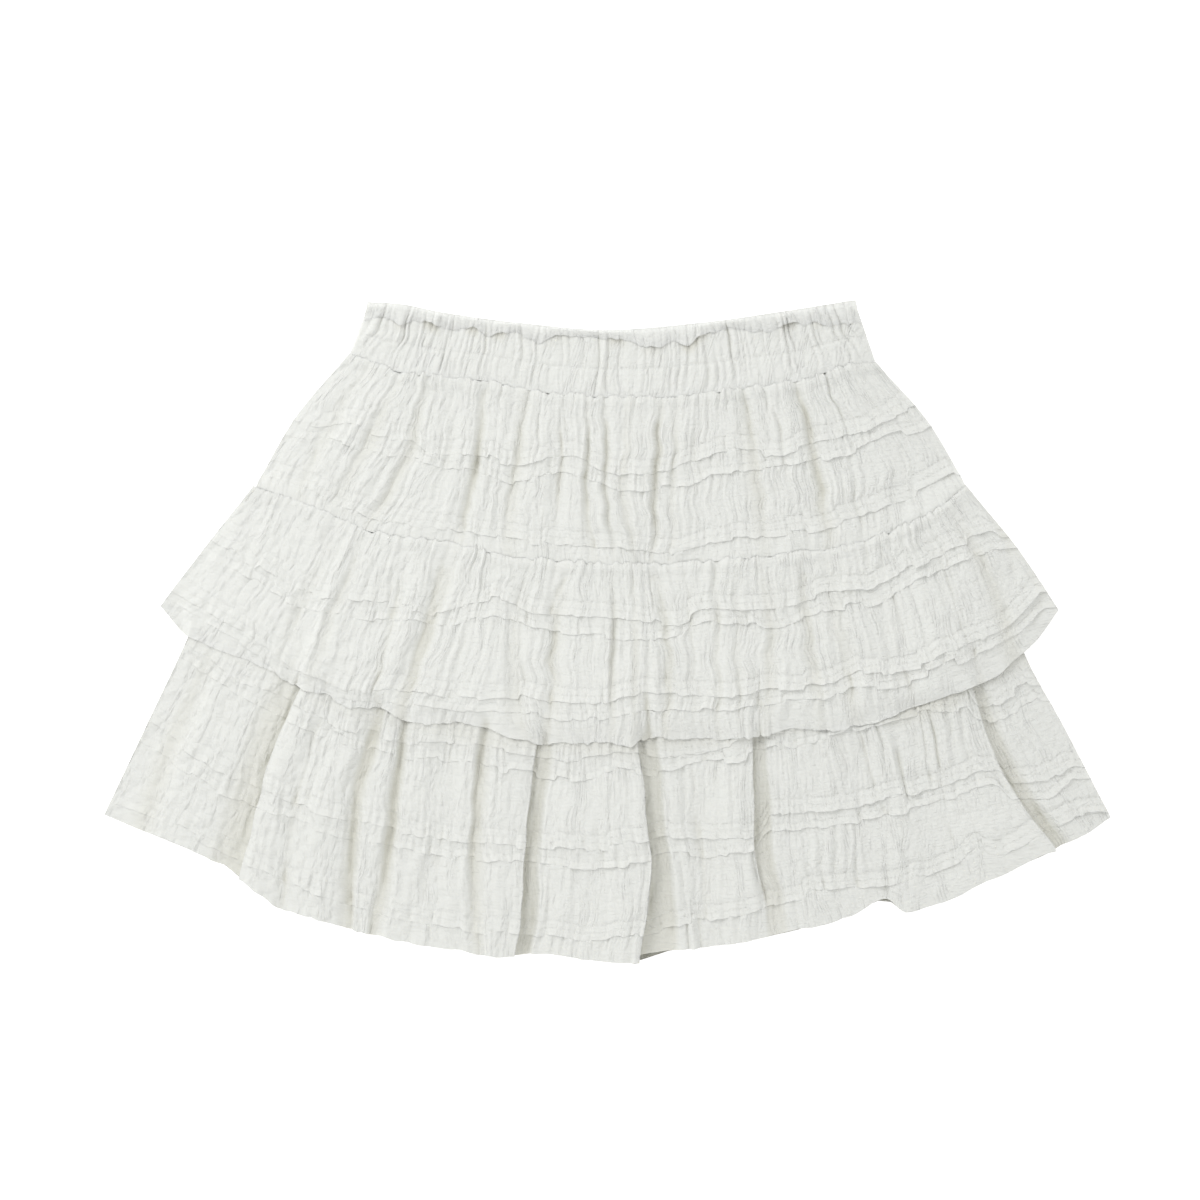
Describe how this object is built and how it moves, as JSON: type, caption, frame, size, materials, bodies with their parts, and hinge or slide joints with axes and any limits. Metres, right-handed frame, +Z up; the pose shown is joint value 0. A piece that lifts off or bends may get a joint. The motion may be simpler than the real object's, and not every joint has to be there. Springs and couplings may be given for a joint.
{
  "type": "tiered ruffle skirt",
  "caption": "Child's crinkled cotton skirt with a gathered elastic waist, a frilled header and tucked ruffle tiers, laid flat.",
  "frame": {"origin": "centre of the bounding box on the surface that the skirt lies on", "axes": "+Z up, out of the skirt's front; +Y towards the waist; +X to the viewer's right with the front up"},
  "size_m": [0.504, 0.331, 0.0163],
  "materials": {
    "crinkled_cotton": "soft matt crinkled cotton gauze, off-white"
  },
  "bodies": {
    "root": {"waistband": "crinkled_cotton", "waist_frill_front": "crinkled_cotton", "waist_frill_back": "crinkled_cotton", "yoke_front": "crinkled_cotton", "yoke_back": "crinkled_cotton", "upper_ruffle_front": "crinkled_cotton", "upper_ruffle_back": "crinkled_cotton", "lower_ruffle_front": "crinkled_cotton", "lower_ruffle_back": "crinkled_cotton"}
  },
  "joints": []
}
